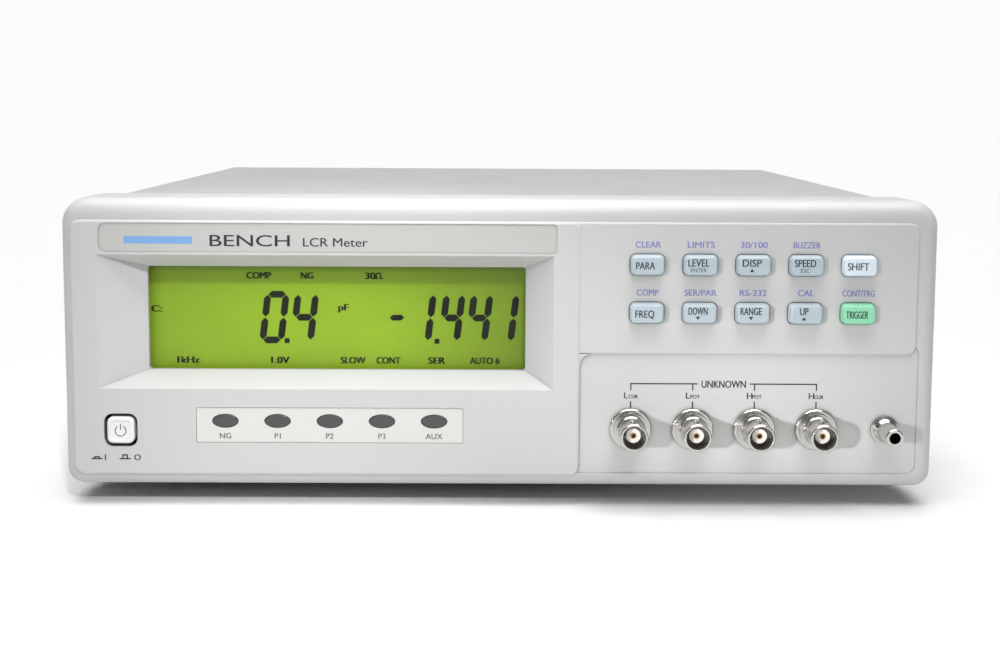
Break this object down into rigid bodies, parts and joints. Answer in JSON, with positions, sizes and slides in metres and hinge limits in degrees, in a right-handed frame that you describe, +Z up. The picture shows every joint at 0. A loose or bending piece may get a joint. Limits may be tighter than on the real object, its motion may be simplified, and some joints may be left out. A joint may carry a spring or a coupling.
{
  "type": "bench lcr meter",
  "caption": "Bench LCR meter: moulded front panel with display, keys, limit lamps, power button and coaxial terminals on a sheet-metal case with rear connectors.",
  "frame": {"origin": "on the bench, under the middle of the bounding box", "axes": "+Z up, front panel faces -Y, +X to the right of a person facing the front"},
  "size_m": [0.31, 0.307, 0.11],
  "materials": {
    "bezel_plastic": "fine-textured moulding",
    "name_plate": "printed film",
    "lamp_plate": "printed film",
    "lamp_lens": "smoked, translucent",
    "led_body": "clear tinted",
    "silicone": "matt translucent",
    "circuit_board": "solder mask",
    "key_blue_grey": "satin",
    "key_pale": "satin",
    "key_green": "satin",
    "button_grey": "satin",
    "black_plastic": "satin",
    "zinc_steel": "zinc plated",
    "clear_window": "clear acrylic",
    "liquid_crystal": "liquid-crystal cell",
    "backlight": "translucent diffuser",
    "nickel": "nickel plated",
    "dielectric": "white insulator",
    "gold": "gold plated",
    "cover_paint": "fine-textured grey paint",
    "foot_rubber": "matt",
    "screw_steel": "zinc plated",
    "relay_case": "satin",
    "capacitor_sleeve": "shrunk sleeve",
    "heat_sink": "black anodised",
    "transistor": "moulded, metal tab",
    "core_steel": "varnished laminations",
    "coil_tape": "wrapped tape",
    "ribbon": "flat cable"
  },
  "bodies": {
    "case": {"front_bezel": "bezel_plastic", "name_plate": "name_plate", "lamp_plate": "lamp_plate", "lamp_lenses": "lamp_lens", "lamp_leds": "led_body", "key_mat": "silicone", "key_board": "circuit_board", "display_board": "circuit_board", "main_board": "circuit_board", "power_switch": "black_plastic", "mains_inlet": "black_plastic", "board_chips": "black_plastic", "port_inserts": "black_plastic", "buzzer": "black_plastic", "ribbon_headers": "black_plastic", "display_frame": "black_plastic", "switch_bracket": "zinc_steel", "subpanel": "zinc_steel", "chassis_tray": "zinc_steel", "board_standoffs": "zinc_steel", "earth_stud": "zinc_steel", "earth_stud_nut": "zinc_steel", "port_jackscrews": "zinc_steel", "display_window": "clear_window", "display_glass": "liquid_crystal", "display_backlight": "backlight", "terminal_shells": "nickel", "terminal_nuts": "nickel", "earth_post": "nickel", "earth_post_nut": "nickel", "port_shells": "nickel", "inlet_blades": "nickel", "terminal_insulators": "dielectric", "terminal_contacts": "gold", "top_cover": "cover_paint", "rear_panel": "cover_paint", "feet": "foot_rubber", "case_screws": "screw_steel", "board_screws": "screw_steel", "board_relays": "relay_case", "board_capacitors": "capacitor_sleeve", "heat_sink": "heat_sink", "regulators": "transistor", "transformer_core": "core_steel", "transformer_coil": "coil_tape", "ribbon_cables": "ribbon"},
    "power_button": {"power_button": "button_grey", "power_push_rod": "black_plastic"},
    "fuse_drawer": {"fuse_drawer": "black_plastic", "fuse": "nickel"},
    "key_parameter": {"key_parameter": "key_blue_grey"},
    "key_level": {"key_level": "key_blue_grey"},
    "key_display": {"key_display": "key_blue_grey"},
    "key_speed": {"key_speed": "key_blue_grey"},
    "key_shift": {"key_shift": "key_pale"},
    "key_frequency": {"key_frequency": "key_blue_grey"},
    "key_down": {"key_down": "key_blue_grey"},
    "key_range": {"key_range": "key_blue_grey"},
    "key_up": {"key_up": "key_blue_grey"},
    "key_trigger": {"key_trigger": "key_green"}
  },
  "joints": [
    {"name": "press_parameter", "type": "slide", "parent": "case", "child": "key_parameter", "axis": [0, 1, 0], "range_m": [0, 0.001], "stiffness_N_per_m": 300, "springref_m": -0.001, "deforming": ["key_mat"]},
    {"name": "press_level", "type": "slide", "parent": "case", "child": "key_level", "axis": [0, 1, 0], "range_m": [0, 0.001], "stiffness_N_per_m": 300, "springref_m": -0.001, "deforming": ["key_mat"]},
    {"name": "press_display", "type": "slide", "parent": "case", "child": "key_display", "axis": [0, 1, 0], "range_m": [0, 0.001], "stiffness_N_per_m": 300, "springref_m": -0.001, "deforming": ["key_mat"]},
    {"name": "press_speed", "type": "slide", "parent": "case", "child": "key_speed", "axis": [0, 1, 0], "range_m": [0, 0.001], "stiffness_N_per_m": 300, "springref_m": -0.001, "deforming": ["key_mat"]},
    {"name": "press_shift", "type": "slide", "parent": "case", "child": "key_shift", "axis": [0, 1, 0], "range_m": [0, 0.001], "stiffness_N_per_m": 300, "springref_m": -0.001, "deforming": ["key_mat"]},
    {"name": "press_frequency", "type": "slide", "parent": "case", "child": "key_frequency", "axis": [0, 1, 0], "range_m": [0, 0.001], "stiffness_N_per_m": 300, "springref_m": -0.001, "deforming": ["key_mat"]},
    {"name": "press_down", "type": "slide", "parent": "case", "child": "key_down", "axis": [0, 1, 0], "range_m": [0, 0.001], "stiffness_N_per_m": 300, "springref_m": -0.001, "deforming": ["key_mat"]},
    {"name": "press_range", "type": "slide", "parent": "case", "child": "key_range", "axis": [0, 1, 0], "range_m": [0, 0.001], "stiffness_N_per_m": 300, "springref_m": -0.001, "deforming": ["key_mat"]},
    {"name": "press_up", "type": "slide", "parent": "case", "child": "key_up", "axis": [0, 1, 0], "range_m": [0, 0.001], "stiffness_N_per_m": 300, "springref_m": -0.001, "deforming": ["key_mat"]},
    {"name": "press_trigger", "type": "slide", "parent": "case", "child": "key_trigger", "axis": [0, 1, 0], "range_m": [0, 0.001], "stiffness_N_per_m": 300, "springref_m": -0.001, "deforming": ["key_mat"]},
    {"name": "press_power", "type": "slide", "parent": "case", "child": "power_button", "axis": [0, -1, 0], "range_m": [-0.0008, 0.0035]},
    {"name": "pull_fuse_drawer", "type": "slide", "parent": "case", "child": "fuse_drawer", "axis": [0, 1, 0], "range_m": [0, 0.02]}
  ]
}
